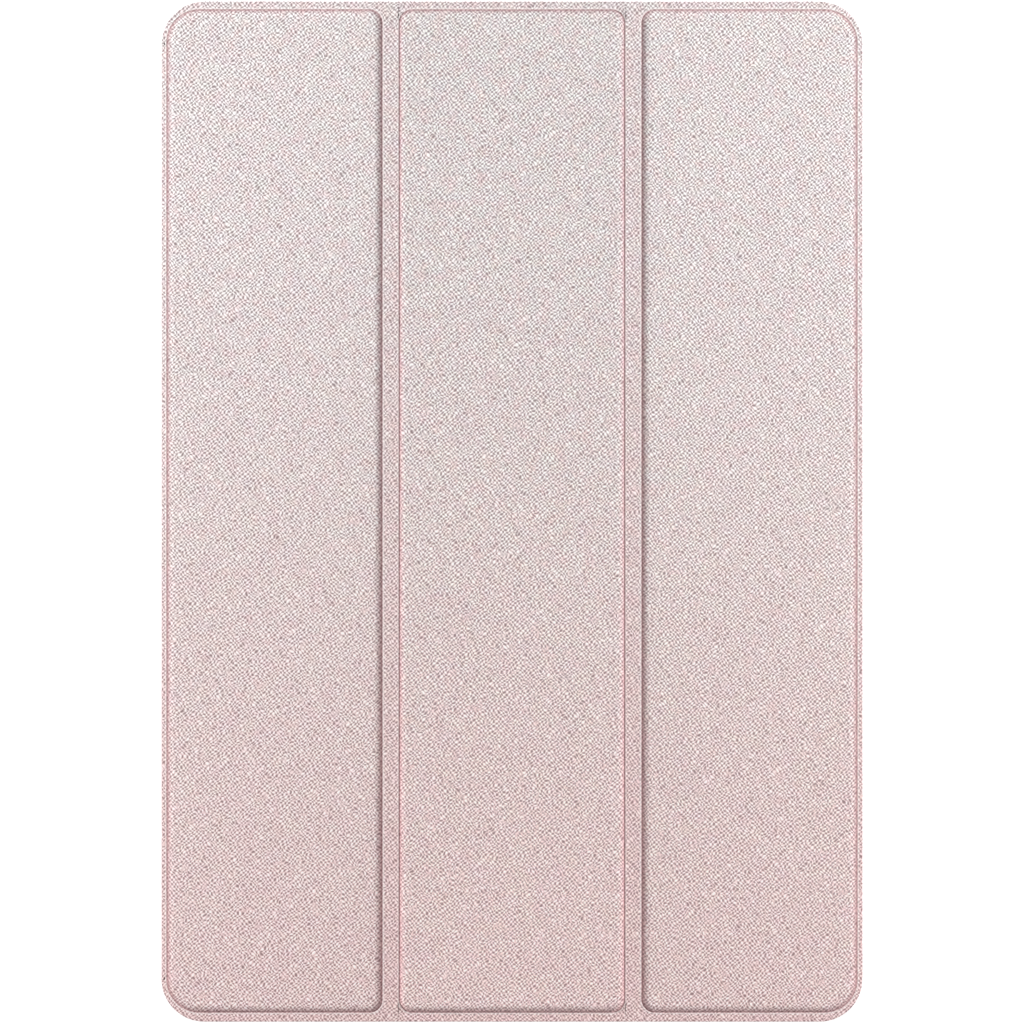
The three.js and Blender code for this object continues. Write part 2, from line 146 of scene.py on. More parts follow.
CORNER_STEPS = 16
ACROSS_STEPS, ALONG_STEPS = 26, 120
GUTTER_STEPS = 12
SHOULDER_STEPS = 10
PANEL_STEPS = (ACROSS_STEPS, ALONG_STEPS, CORNER_STEPS)
TRAY_STEPS = (30, 44, 16)
BUTTON_STEPS = (24, 4, 12)
CUT_STEPS = (2, 2, 12)


# ---------------- mesh tools

class Outline:
    """A rectangle with rounded corners, seen from above; its left and right corners can differ in radius."""

    def __init__(self, left, right, bottom, top, left_radius, right_radius):
        self.left, self.right, self.bottom, self.top = left, right, bottom, top
        self.left_radius, self.right_radius = left_radius, right_radius

    def inset(self, amount, sides="lrbt"):
        """The same outline with the named sides moved in, or out where amount is negative."""
        move = {side: amount if side in sides else 0 for side in "lrbt"}
        radii = [
            max(radius - amount, SQUARE_R) if side in sides and radius > SQUARE_R else radius
            for side, radius in (("l", self.left_radius), ("r", self.right_radius))
        ]
        return Outline(
            self.left + move["l"],
            self.right - move["r"],
            self.bottom + move["b"],
            self.top - move["t"],
            *radii,
        )


def ring(outline, z, steps=PANEL_STEPS):
    """The outline's points at height z, anticlockwise from the start of the lower left corner."""
    across, along, corner = steps
    left_r, right_r = outline.left_radius, outline.right_radius
    corners = (
        (outline.left + left_r, outline.bottom + left_r, left_r, 180),
        (outline.right - right_r, outline.bottom + right_r, right_r, 270),
        (outline.right - right_r, outline.top - right_r, right_r, 0),
        (outline.left + left_r, outline.top - left_r, left_r, 90),
    )
    arcs = []
    for x, y, radius, start in corners:
        angles = np.radians(start + 90 * np.arange(corner + 1) / corner)
        arcs.append(np.column_stack([x + radius * np.cos(angles), y + radius * np.sin(angles)]))
    points = []
    for index, arc in enumerate(arcs):
        straight = across if index % 2 == 0 else along
        share = (np.arange(1, straight) / straight)[:, None]
        following = arcs[(index + 1) % 4][0]
        points += [arc, arc[-1] + share * (following - arc[-1])]
    flat = np.concatenate(points)
    return np.column_stack([flat, np.full(len(flat), z)])


def distance_out(outline, x, y):
    """How far each point lies outside the outline; inside it, less than zero."""
    across, along = (outline.left + outline.right) / 2, (outline.bottom + outline.top) / 2
    radius = np.where(x < across, outline.left_radius, outline.right_radius)
    past_x = np.abs(x - across) - (outline.right - across - radius)
    past_y = np.abs(y - along) - (outline.top - along - radius)
    corner = np.hypot(np.maximum(past_x, 0), np.maximum(past_y, 0))
    return corner + np.minimum(np.maximum(past_x, past_y), 0) - radius


def between(first, last, count):
    """count rings from first to last, both left out."""
    return [first + (last - first) * (i + 1) / (count + 1) for i in range(count)]


def grid_inside(edge, steps, lift):
    """Points and faces of a grid that fills a ring; edge points keep their numbers and come first."""
    across, along, corner = steps
    columns, rows, half = across + corner, along + corner, corner // 2
    order = np.roll(np.arange(len(edge)), -half)
    low = order[: columns + 1]
    right = order[columns : columns + rows + 1]
    high = order[columns + rows : 2 * columns + rows + 1][::-1]
    left = np.append(order[2 * columns + rows :], order[0])[::-1]
    numbers = np.zeros((columns + 1, rows + 1), int)
    numbers[:, 0], numbers[-1, :], numbers[:, -1], numbers[0, :] = low, right, high, left
    made = []
    for i in range(1, columns):
        u = i / columns
        for j in range(1, rows):
            v = j / rows
            sides = (1 - v) * edge[low[i]] + v * edge[high[i]] + (1 - u) * edge[left[j]] + u * edge[right[j]]
            ends = (1 - u) * ((1 - v) * edge[low[0]] + v * edge[high[0]])
            ends = ends + u * ((1 - v) * edge[low[-1]] + v * edge[high[-1]])
            numbers[i, j] = len(edge) + len(made)
            made.append(sides - ends)
    made = np.array(made)
    made[:, 2] += lift(made)
    faces = [
        (numbers[i, j], numbers[i + 1, j], numbers[i + 1, j + 1], numbers[i, j + 1])
        for i in range(columns)
        for j in range(rows)
    ]
    return made, faces


def no_lift(points):
    """The lift of a surface that stays flat."""
    return np.zeros(len(points))


def closed_stack(rings, steps=PANEL_STEPS, lift=no_lift):
    """Points and faces of a closed surface: rings joined in order, with a grid over each end."""
    count = len(rings[0])
    points = [np.concatenate(rings)]
    faces = []
    for level in range(len(rings) - 1):
        a, b = level * count, (level + 1) * count
        for i in range(count):
            j = (i + 1) % count
            faces.append((a + i, a + j, b + j, b + i))
    total = count * len(rings)
    for start, this_lift in ((0, no_lift), (count * (len(rings) - 1), lift)):
        made, cap = grid_inside(points[0][start : start + count], steps, this_lift)
        faces += [tuple(k + start if k < count else k - count + total for k in face) for face in cap]
        points.append(made)
        total += len(made)
    return np.concatenate(points), faces


def store_rest(piece, coordinate=None):
    """Keeps each point's place at rest, or on the flat sheet, for the materials."""
    mesh = piece.data
    places = np.array([v.co for v in mesh.vertices], float).reshape(-1, 3)
    values = places if coordinate is None else coordinate(places)
    attribute = mesh.attributes.new("rest", "FLOAT_VECTOR", "POINT")
    attribute.data.foreach_set("vector", values.astype(np.float32).ravel())


def smooth(piece, angle=35):
    """Smooth shading, with sharp edges where faces meet at more than that angle, in degrees."""
    mesh = piece.data
    mesh.shade_smooth()
    mesh.set_sharp_from_angle(angle=math.radians(angle))


def piece_from(name, points, faces, material, coordinate=None):
    """An object from points and faces; coordinate works out the places that its material reads."""
    mesh = bpy.data.meshes.new(name)
    mesh.from_pydata([tuple(p) for p in points], [], faces)
    work = bmesh.new()
    work.from_mesh(mesh)
    bmesh.ops.recalc_face_normals(work, faces=work.faces)
    work.to_mesh(mesh)
    work.free()
    piece = bpy.data.objects.new(name, mesh)
    bpy.context.scene.collection.objects.link(piece)
    mesh.materials.append(material)
    store_rest(piece, coordinate)
    smooth(piece)
    return piece


# ---------------- material tools

class Nodes:
    """A material's node tree, with short calls for the nodes that it uses."""

    def __init__(self, name):
        self.material = bpy.data.materials.new(name)
        self.material.use_nodes = True
        self.tree = self.material.node_tree
        self.shader = self.tree.nodes["Principled BSDF"]

    def put(self, socket, value):
        """Links or sets a socket; None leaves it as it is."""
        if isinstance(value, bpy.types.NodeSocket):
            self.tree.links.new(value, socket)
        elif value is not None:
            socket.default_value = value

    def add(self, kind, values=(), **settings):
        node = self.tree.nodes.new(kind)
        for key, value in settings.items():
            setattr(node, key, value)
        for key, value in dict(values).items():
            self.put(node.inputs[key], value)
        return node

    def math(self, operation, a, b=None):
        return self.add("ShaderNodeMath", {0: a, 1: b}, operation=operation).outputs[0]

    def vector(self, operation, a, b=None, scale=None):
        values = {0: a, 1: b} if scale is None else {0: a, "Scale": scale}
        node = self.add("ShaderNodeVectorMath", values, operation=operation)
        return node.outputs["Value" if operation == "DOT_PRODUCT" else "Vector"]

    def noise(self, vector, scale, detail=2.0, roughness=0.5, colour=False):
        """Noise with about scale features to the millimetre."""
        values = {"Vector": vector, "Scale": scale, "Detail": detail, "Roughness": roughness}
        node = self.add("ShaderNodeTexNoise", values)
        return node.outputs["Color" if colour else "Fac"]

    def mix(self, share, a, b):
        """The colour a, with that share of b."""
        node = self.add("ShaderNodeMix", data_type="RGBA")
        for socket, value in zip((node.inputs[0], node.inputs[6], node.inputs[7]), (share, a, b)):
            self.put(socket, value)
        return node.outputs[2]

    def span(self, value, low, high, to_low=0.0, to_high=1.0, kind="LINEAR"):
        """Moves a value from the range low to high onto the range to_low to to_high."""
        values = {"Value": value, "From Min": low, "From Max": high, "To Min": to_low, "To Max": to_high}
        return self.add("ShaderNodeMapRange", values, interpolation_type=kind).outputs["Result"]

    def rest(self):
        """The point's place at rest, in millimetres."""
        place = self.add("ShaderNodeAttribute", attribute_name="rest").outputs["Vector"]
        return self.vector("SCALE", place, scale=1 / MM)

    def attribute(self, name):
        return self.add("ShaderNodeAttribute", attribute_name=name).outputs["Fac"]

    def object_place(self):
        """The point's place in its object's own frame, in millimetres."""
        place = self.add("ShaderNodeTexCoord").outputs["Object"]
        return self.vector("SCALE", place, scale=1 / MM)

    def bump(self, height, distance, strength=1.0):
        values = {"Height": height, "Distance": distance, "Strength": strength}
        return self.add("ShaderNodeBump", values).outputs["Normal"]

    def finish(self, **values):
        """Sets the shader's sockets, with _ for each space in a socket's name."""
        for key, value in values.items():
            self.put(self.shader.inputs[key.replace("_", " ")], value)
        return self.material


def srgb(red, green, blue):
    """A colour given in the usual 0 to 255 display values, as the linear one that a shader takes."""
    linear = [(c / 255 / 12.92) if c < 10 else ((c / 255 + 0.055) / 1.055) ** 2.4 for c in (red, green, blue)]
    return (*linear, 1.0)


def embossed_weave(nodes, place):
    """Height of the fine emboss, 0 to 1: short slanting dashes, whose slant changes from patch to patch."""
    rib_spacing, dash = 0.72, 0.86
    drift = nodes.vector("SUBTRACT", nodes.noise(place, 0.6, detail=1, colour=True), (0.5, 0.5, 0.5))
    moved = nodes.vector("ADD", place, drift)
    slants = []
    for slant in (42, -48):
        a = math.radians(slant)
        across = Vector((-math.sin(a), math.cos(a), 0)) * (2 * math.pi / rib_spacing)
        along = Vector((math.cos(a), math.sin(a), 0)) * (2 * math.pi / dash)
        rib = nodes.math("SINE", nodes.vector("DOT_PRODUCT", moved, across))
        stagger = nodes.math("MULTIPLY", nodes.noise(moved, 0.7, detail=0), 9.0)
        dashes = nodes.math("SINE", nodes.math("ADD", nodes.vector("DOT_PRODUCT", moved, along), stagger))
        slants.append(nodes.math("ADD", rib, nodes.math("MULTIPLY", dashes, 0.85)))
    patch = nodes.span(nodes.noise(place, 0.33, detail=1), 0.44, 0.6, kind="SMOOTHSTEP")
    first = nodes.math("MULTIPLY", slants[0], nodes.math("SUBTRACT", 1.0, patch))
    second = nodes.math("MULTIPLY", slants[1], patch)
    return nodes.span(nodes.math("ADD", first, second), -1.85, 1.85)


# ---------------- materials

def cover_skin_material():
    """Rose-pink imitation leather, paler and greyer towards the top by a painted reflection; darker on its
    flat rims from pressing, with painted shade in its grooves, creases and lower shoulders, and a painted
    highlight on the beads round its pads.
    """
    nodes = Nodes("cover_skin")
    place = nodes.rest()
    weave = embossed_weave(nodes, place)
    grain = nodes.noise(place, 2.6, detail=1)
    height = nodes.math("ADD", nodes.math("MULTIPLY", weave, 0.95), nodes.math("MULTIPLY", grain, 0.22))
    along = nodes.add("ShaderNodeSeparateXYZ", {0: place}).outputs[1]
    # the colour ramp paints a reflection of the light from above: paler and greyer towards the cover's top
    ramp = nodes.add("ShaderNodeValToRGB", {0: nodes.span(along, -SKIN_SHADES_REACH, SKIN_SHADES_REACH)})
    elements = ramp.color_ramp.elements
    elements[0].color, elements[1].color = srgb(*SKIN_SHADES[0]), srgb(*SKIN_SHADES[-1])
    for number, shade in enumerate(SKIN_SHADES[1:-1], 1):
        elements.new(number / (len(SKIN_SHADES) - 1)).color = srgb(*shade)
    tone = ramp.outputs[0]
    cloud = nodes.noise(place, 0.3, detail=3)
    tone = nodes.mix(nodes.span(cloud, 0.42, 0.72, 0.0, 0.5), tone, srgb(222, 190, 190))
    hue = nodes.vector("SUBTRACT", nodes.noise(place, 0.28, detail=2, colour=True), (0.5, 0.5, 0.5))
    hue = nodes.vector("ADD", nodes.vector("SCALE", hue, scale=0.1), (1, 1, 1))
    tone = nodes.vector("MULTIPLY", tone, hue)
    # painted shade in the weave's pits and a painted highlight on its ribs
    relief = nodes.mix(nodes.span(height, 0.22, 0.98), WEAVE_PITS_PAINTED_SHADE, WEAVE_RIBS_PAINTED_HIGHLIGHT)
    tone = nodes.vector("MULTIPLY", tone, relief)
    # darker mauve on the flat rims from pressing, and painted shade in the grooves round the pads, on the
    # lower part of their shoulders and along the creases
    pressed_and_shade = nodes.attribute("pressed_and_shade")
    tone = nodes.mix(nodes.math("MULTIPLY", pressed_and_shade, 0.7), tone, srgb(163, 108, 115))
    # a painted highlight on the bead round each pad, broken up by the cloud noise
    painted_bead_highlight = nodes.math("MULTIPLY", nodes.attribute("painted_bead_highlight"), nodes.span(cloud, 0.3, 0.6, 0.4, 0.75))
    tone = nodes.mix(painted_bead_highlight, tone, srgb(248, 238, 236))
    tone = nodes.vector("MINIMUM", tone, (0.98, 0.98, 0.98))
    return nodes.finish(
        Base_Color=tone,
        Roughness=nodes.span(height, 0.2, 0.9, 0.64, 0.46),
        Normal=nodes.bump(height, 0.10 * MM, strength=0.7),
        Sheen_Weight=0.1,
        Sheen_Roughness=0.4,
        Sheen_Tint=(1.0, 0.93, 0.92, 1.0),
    )


def lining_material():
    """Brushed microfibre."""
    nodes = Nodes("lining")
    place = nodes.rest()
    nap = nodes.noise(place, 3.5, detail=3, roughness=0.7)
    brushed = nodes.noise(nodes.vector("MULTIPLY", place, (0.35, 1.1, 1.0)), 0.35, detail=4, roughness=0.6)
    shade = nodes.math("ADD", nodes.math("MULTIPLY", nap, 0.6), nodes.math("MULTIPLY", brushed, 0.5))
    tone = nodes.mix(nodes.span(shade, 0.3, 0.8), srgb(186, 158, 158), srgb(214, 190, 189))
    # painted shade in the dent that the board's edge presses into the lining
    tone = nodes.mix(nodes.math("MULTIPLY", nodes.attribute("pressed_and_shade"), 0.45), tone, srgb(150, 118, 118))
    return nodes.finish(
        Base_Color=tone,
        Roughness=nodes.span(nap, 0.2, 0.8, 0.98, 0.86),
        Normal=nodes.bump(shade, 0.12 * MM, strength=0.8),
        Sheen_Weight=0.55,
        Sheen_Roughness=0.45,
        Sheen_Tint=(1.0, 0.92, 0.91, 1.0),
        Specular_IOR_Level=0.2,
    )


def moulded_material(name, colour, dark, grain_size, bump_height, roughness, subsurface=0.0):
    """Flexible moulded plastic with a fine spark-eroded grain."""
    nodes = Nodes(name)
    place = nodes.rest()
    grain = nodes.noise(place, 1 / grain_size, detail=3, roughness=0.6)
    flow = nodes.noise(place, 0.045, detail=3)
    tone = nodes.mix(nodes.span(flow, 0.3, 0.7), srgb(*colour), srgb(*dark))
    tone = nodes.mix(nodes.span(grain, 0.25, 0.75, 0.0, 0.25), tone, srgb(*[c * 0.86 for c in dark]))
    scuffs = nodes.noise(nodes.vector("MULTIPLY", place, (0.25, 1.6, 1.0)), 0.5, detail=5, roughness=0.7)
    rough = nodes.math("ADD", nodes.span(grain, 0.2, 0.8, -0.05, 0.05), roughness)
    rough = nodes.math("ADD", rough, nodes.span(scuffs, 0.55, 0.75, 0.0, 0.08))
    return nodes.finish(
        Base_Color=tone,
        Roughness=rough,
        Normal=nodes.bump(grain, bump_height, strength=0.6),
        Subsurface_Weight=subsurface,
        Subsurface_Radius=(0.8 * MM, 0.5 * MM, 0.5 * MM),
    )


def board_material():
    """Grey board of pressed fibres."""
    nodes = Nodes("board")
    place = nodes.object_place()
    fibres = nodes.noise(nodes.vector("MULTIPLY", place, (2.4, 0.5, 1.0)), 0.8, detail=5, roughness=0.7)
    specks = nodes.noise(place, 2.0, detail=2)
    tone = nodes.mix(nodes.span(fibres, 0.3, 0.7), srgb(150, 146, 139), srgb(190, 186, 178))
    tone = nodes.mix(nodes.span(specks, 0.66, 0.74), tone, srgb(120, 112, 104))
    return nodes.finish(
        Base_Color=tone,
        Roughness=nodes.span(fibres, 0.3, 0.7, 0.95, 0.8),
        Normal=nodes.bump(fibres, 0.08 * MM),
    )


def foam_material():
    """Thin foam with open cells."""
    nodes = Nodes("foam")
    place = nodes.object_place()
    cells = nodes.add("ShaderNodeTexVoronoi", {"Vector": place, "Scale": 2.6}, feature="F1")
    cells = cells.outputs["Distance"]
    tone = nodes.mix(nodes.span(cells, 0.1, 0.6), srgb(206, 200, 190), srgb(242, 238, 230))
    return nodes.finish(
        Base_Color=tone,
        Roughness=nodes.span(cells, 0.0, 0.6, 0.95, 0.85),
        Normal=nodes.bump(cells, 0.15 * MM),
    )


def adhesive_material():
    """A smeared film of glue."""
    nodes = Nodes("adhesive")
    place = nodes.object_place()
    smears = nodes.noise(nodes.vector("MULTIPLY", place, (0.3, 1.5, 1.0)), 0.6, detail=3)
    tone = nodes.mix(nodes.span(smears, 0.35, 0.65), srgb(236, 232, 214), srgb(246, 243, 232))
    return nodes.finish(
        Base_Color=tone,
        Roughness=nodes.span(smears, 0.3, 0.7, 0.3, 0.5),
        Normal=nodes.bump(smears, 0.04 * MM),
    )


def magnet_material():
    """Nickel plate with fine grinding lines."""
    nodes = Nodes("magnet")
    place = nodes.object_place()
    lines = nodes.noise(nodes.vector("MULTIPLY", place, (6.0, 0.4, 6.0)), 1.2, detail=4)
    stains = nodes.noise(place, 0.4, detail=3)
    tone = nodes.mix(nodes.span(stains, 0.4, 0.7), srgb(196, 198, 202), srgb(168, 168, 170))
    return nodes.finish(
        Base_Color=tone,
        Metallic=1.0,
        Roughness=nodes.span(lines, 0.3, 0.7, 0.2, 0.38),
        Normal=nodes.bump(lines, 0.01 * MM),
    )


def floor_material():
    """A pale studio sweep, a little bright by itself as if lit from behind."""
    nodes = Nodes("floor")
    place = nodes.object_place()
    faint = nodes.noise(place, 0.02, detail=2)
    tone = nodes.mix(nodes.span(faint, 0.3, 0.7), (0.93, 0.93, 0.935, 1), (0.95, 0.95, 0.95, 1))
    return nodes.finish(
        Base_Color=tone,
        Roughness=0.9,
        Specular_IOR_Level=0.1,
        Emission_Color=(1, 1, 1, 1),
        Emission_Strength=0.75,
    )


SKIN_MATERIAL = cover_skin_material()
LINING_MATERIAL = lining_material()
TRAY_MATERIAL = moulded_material("tray", (222, 198, 196), (219, 194, 192), 0.35, 0.03 * MM, 0.5, 0.15)
BUTTON_MATERIAL = moulded_material("button", (218, 192, 190), (214, 188, 186), 0.25, 0.02 * MM, 0.55, 0.1)


# ---------------- camera, lights and floor

VIEW_HEIGHT = 251.8 * MM  # what the picture shows from top to bottom, at the cover's front
VIEW_DOWN = 0.12 * MM  # the picture's middle lies this far below the cover's
LENS, SENSOR = 120.0, 36.0
LAMP_DISTANCE = 1.2
LAMP_SIZE = (0.5, 0.12)


def make_camera():
    data = bpy.data.cameras.new("camera")
    data.lens = LENS
    data.sensor_width = SENSOR
    camera = bpy.data.objects.new("camera", data)
    bpy.context.scene.collection.objects.link(camera)
    distance = VIEW_HEIGHT / 2 * LENS / (SENSOR / 2)
    camera.location = (0, -VIEW_DOWN, FLANGE_TOP + distance)
    data.clip_start, data.clip_end = 0.01, 20
    bpy.context.scene.camera = camera


def make_light(name, place, target, size, energy):
    """A rectangular lamp of size metres and energy watts, turned to its target."""
    data = bpy.data.lights.new(name, "AREA")
    data.shape = "RECTANGLE"
    data.size, data.size_y = size
    data.energy = energy
    light = bpy.data.objects.new(name, data)
    bpy.context.scene.collection.objects.link(light)
    light.location = place
    light.rotation_euler = (Vector(target) - Vector(place)).to_track_quat("-Z", "Y").to_euler()
    return light


def light_only(light, names):
    """The light falls on these pieces alone, as flags round a lamp keep it off the others."""
    group = bpy.data.collections.new(light.name + "_receivers")
    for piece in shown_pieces():
        if piece.name in names:
            group.objects.link(piece)
    light.light_linking.receiver_collection = group


def raking_light(name, side, over, height, turn, energy, names):
    """A lamp far out to one side, aimed at x = over; height and turn towards the top are in degrees."""
    height, turn = math.radians(height), math.radians(turn)
    level = math.cos(height)
    away = Vector((side * level * math.cos(turn), level * math.sin(turn), math.sin(height)))
    target = Vector((over, 0, FLANGE_TOP))
    light = make_light(name, target + LAMP_DISTANCE * away, target, LAMP_SIZE, energy)
    light_only(light, names)
    return light


def make_lights():
    """The photo's two side panels are lit as mirror images, so each panel has raking lamps of its own."""
    target = (0, 0, FLANGE_TOP)
    make_light("overhead", (0, 0.05, 1.1), target, (1.2, 1.2), 1.0)
    make_light("head", (0, 0.85, 0.85), target, (0.6, 0.3), 3.6)
    left = ["left_panel_cover", "spine_cover", "spine_lining_cover", "rear_cover"]
    right = ["right_panel_cover", "tray_shell", "power_button", "volume_up", "volume_down"]
    middle = ["middle_panel_cover", "left_lining_cover", "middle_lining_cover", "right_lining_cover"]
    raking_light("left", -1, -0.05, 49, 26, 10.2, left)
    raking_light("right", 1, 0.05, 49, 26, 10.2, right)
    for side in (-1, 1):
        low_lamp = raking_light("middle", side, 0, 16, 5, 14.0, middle)
        low_lamp.visible_glossy = False  # so low a lamp would glare in a view from the side
    world = bpy.data.worlds.new("studio")
    world.use_nodes = True
    background = world.node_tree.nodes["Background"]
    background.inputs["Color"].default_value = (1, 1, 1, 1)
    background.inputs["Strength"].default_value = 0.28
    bpy.context.scene.world = world
    bpy.context.scene.view_settings.view_transform = "Standard"


def make_floor():
    half = 3.0
    corners = [(-half, -half, 0), (half, -half, 0), (half, half, 0), (-half, half, 0)]
    mesh = bpy.data.meshes.new("floor")
    mesh.from_pydata(corners, [], [(0, 1, 2, 3)])
    floor = bpy.data.objects.new("floor", mesh)
    bpy.context.scene.collection.objects.link(floor)
    floor.location.z = -0.05 * MM
    mesh.materials.append(floor_material())
    floor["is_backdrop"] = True


# ---------------- the panels' skins

def mark(piece, name, share_at):
    """Stores a value from 0 to 1 at each point, such as how much pressing and painted shade darken it."""
    places = np.array([v.co for v in piece.data.vertices], float).reshape(-1, 3)
    attribute = piece.data.attributes.new(name, "FLOAT", "POINT")
    attribute.data.foreach_set("value", share_at(places).astype(np.float32))


def sheet_place(places):
    """The point's place on the skin laid flat: spine and rear flap go on beyond the front's left edge."""
    x, y, z = places.T
    on_rear = (z < SKIN) & (x > COVER_LEFT + SKIN / 2)
    side = COVER_LEFT - (FLANGE_TOP - z)
    rear = COVER_LEFT - FLANGE_TOP - (x - COVER_LEFT)
    on_side = (x < COVER_LEFT + SKIN) & (z < FLANGE_TOP - SKIN / 2)
    across = np.where(on_rear, rear, np.where(on_side, side, x))
    depth = np.where(on_rear, z, np.where(on_side, COVER_LEFT - x, np.minimum(z - FLANGE_TOP, 0)))
    return np.column_stack([across, y, depth])


def pad_foot(side):
    """The outline of a pad's foot, from its stiffener board."""
    low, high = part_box(side + "_panel_board")
    left, left_radius = (OUTER_INSET, PAD_OUTER_R) if side == "left" else (FOLD_INSET, PAD_INNER_R)
    right, right_radius = (OUTER_INSET, PAD_OUTER_R) if side == "right" else (FOLD_INSET, PAD_INNER_R)
    bottom, top = low.y - BOARD_INSET, high.y + BOARD_INSET
    return Outline(low.x - left, high.x + right, bottom, top, left_radius, right_radius)


def panel_outline(side):
    """The flat rim of a panel's skin; the left and right ones take in the fold beside the middle panel."""
    first, last = MIDDLE_BOX[0].x, MIDDLE_BOX[1].x
    left, right = {"left": (COVER_LEFT, first), "middle": (first, last), "right": (last, COVER_RIGHT)}[side]
    left_radius = OUTER_CORNER_R if side == "left" else SQUARE_R
    right_radius = OUTER_CORNER_R if side == "right" else SQUARE_R
    return Outline(left, right, -COVER_END, COVER_END, left_radius, right_radius)


def cut_for_spine(points, cut_x):
    """Opens the left edge of a ring for the spine's skin, between two square slits."""
    slit_y = SPINE_END + SLIT
    points = points.copy()
    count = ALONG_STEPS - 1
    straight = len(points) - count
    points[straight:, 0] = cut_x
    points[straight:, 1] = np.linspace(slit_y, -slit_y, count)
    for corner in (straight - 1, 0):
        points[corner, 1] = math.copysign(slit_y, points[corner, 1])
    return points


def panel_rings(side):
    """The panel's skin from the roof of its pocket, out under the rim, round its edge and up onto the pad."""
    foot, rim, free = pad_foot(side), panel_outline(side), FREE_SIDES[side]

    def cut(points):
        return cut_for_spine(points, COVER_LEFT + SPINE_BEND_FLAT) if side == "left" else points

    rings = [ring(foot.inset(POCKET_FOAM), FOAM_TOP)]
    rings.append(ring(foot.inset(POCKET_FOAM), BOARD_TOP))
    rings.append(ring(foot.inset(POCKET_BOARD), BOARD_TOP))
    rings.append(ring(foot.inset(POCKET_BOARD), SKIN_LOW))
    under = cut(ring(rim.inset(0.2 * MM, free), SKIN_LOW))
    rings += between(rings[-1], under, GUTTER_STEPS) + [under]
    rings.append(cut(ring(rim.inset(0.05 * MM, free), SKIN_LOW + 0.08 * MM)))
    rings.append(cut(ring(rim, SKIN_LOW + 0.25 * MM)))
    rings.append(cut(ring(rim, FLANGE_TOP - 0.3 * MM)))
    rings.append(cut(ring(rim.inset(0.08 * MM, free), FLANGE_TOP - 0.1 * MM)))
    over = cut(ring(rim.inset(0.28 * MM, free), FLANGE_TOP))
    bead = ring(foot.inset(-1.6 * GROOVE_WIDTH), FLANGE_TOP)
    rings += [over] + between(over, bead, GUTTER_STEPS) + [bead]
    for out, down in ((1.35, -0.2), (1.15, -0.35), (0.95, -0.25), (0.75, 0.25), (0.5, 0.8), (0.25, 1.0)):
        rings.append(ring(foot.inset(-GROOVE_WIDTH * out), FLANGE_TOP - GROOVE_DEPTH * down))
    rise = PAD_TOP - FLANGE_TOP + GROOVE_DEPTH
    for i in range(SHOULDER_STEPS + 1):
        angle = math.radians(90 * i / SHOULDER_STEPS)
        edge = foot.inset(PAD_EDGE * (1 - math.cos(angle) ** PAD_EDGE_FULLNESS))
        rings.append(ring(edge, FLANGE_TOP - GROOVE_DEPTH + rise * math.sin(angle) ** PAD_EDGE_FULLNESS))
    return rings


def panel_skin(side):
    """The skin of one panel, raised over its pad, with the marks that its material reads."""
    foot = pad_foot(side)
    centre = ((foot.left + foot.right) / 2, (foot.bottom + foot.top) / 2)
    half = ((foot.right - foot.left) / 2 - PAD_EDGE, (foot.top - foot.bottom) / 2 - PAD_EDGE)

    def crown(points):
        across = np.clip(np.abs(points[:, 0] - centre[0]) / half[0], 0, 1)
        along = np.clip(np.abs(points[:, 1] - centre[1]) / half[1], 0, 1)
        soft = np.array([noise.noise(Vector((p[0], p[1], 0)) / PAD_UNEVEN_PATCH) for p in points])
        fade = (1 - across**4) * (1 - along**30)
        return (PAD_CROWN + PAD_UNEVEN * soft) * fade

    points, faces = closed_stack(panel_rings(side), lift=crown)
    piece = piece_from(side + "_panel_cover", points, faces, SKIN_MATERIAL, sheet_place)

    def pressed_and_shade(places):
        x, y, z = places.T
        height = (z - (FLANGE_TOP - GROOVE_DEPTH)) / (PAD_TOP - FLANGE_TOP)
        out = distance_out(foot, x, y)
        # painted shade in the groove round the pad's foot and on the lower part of its shoulder, over the
        # pressed flat rim
        groove_shade = np.clip(1.25 - np.abs(out - 0.15 * GROOVE_WIDTH) / (0.6 * GROOVE_WIDTH), 0, 1)
        shoulder = 0.9 * np.clip(1 - height, 0, 1) ** 0.8 * (out < 0.1 * MM)
        flange = FLAT_PRESSED * (out > 2 * GROOVE_WIDTH)
        most = np.maximum(np.maximum(groove_shade, shoulder), flange)
        return np.clip(most, 0, 1) * (z > FLANGE_TOP - 2 * GROOVE_DEPTH)

    # painted highlight along the bead just outside each pad's groove
    def painted_bead_highlight(places):
        x, y, z = places.T
        from_bead = (distance_out(foot, x, y) - GROOVE_WIDTH) / (0.5 * GROOVE_WIDTH)
        return np.exp(-(from_bead**2)) * (z > SKIN_LOW + SKIN / 2)

    mark(piece, "pressed_and_shade", pressed_and_shade)
    mark(piece, "painted_bead_highlight", painted_bead_highlight)
    return piece


def make_panels():
    left = panel_skin("left")
    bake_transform(left)
    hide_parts("left_panel_skin", "left_fold_skin")
    middle = panel_skin("middle")
    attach(middle, "middle_panel")
    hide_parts("middle_panel_skin")
    right = panel_skin("right")
    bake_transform(right)
    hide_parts("right_panel_skin", "right_fold_skin")


# ---------------- bent sheets: spine, rear flap and linings

def round_turn(centre, radius, start, end, steps=8):
    """Points of an arc in the x and z plane, from one angle to the other, in degrees."""
    angles = np.radians(np.linspace(start, end, steps + 1))
    return [(centre[0] + radius * math.cos(a), centre[1] + radius * math.sin(a)) for a in angles]


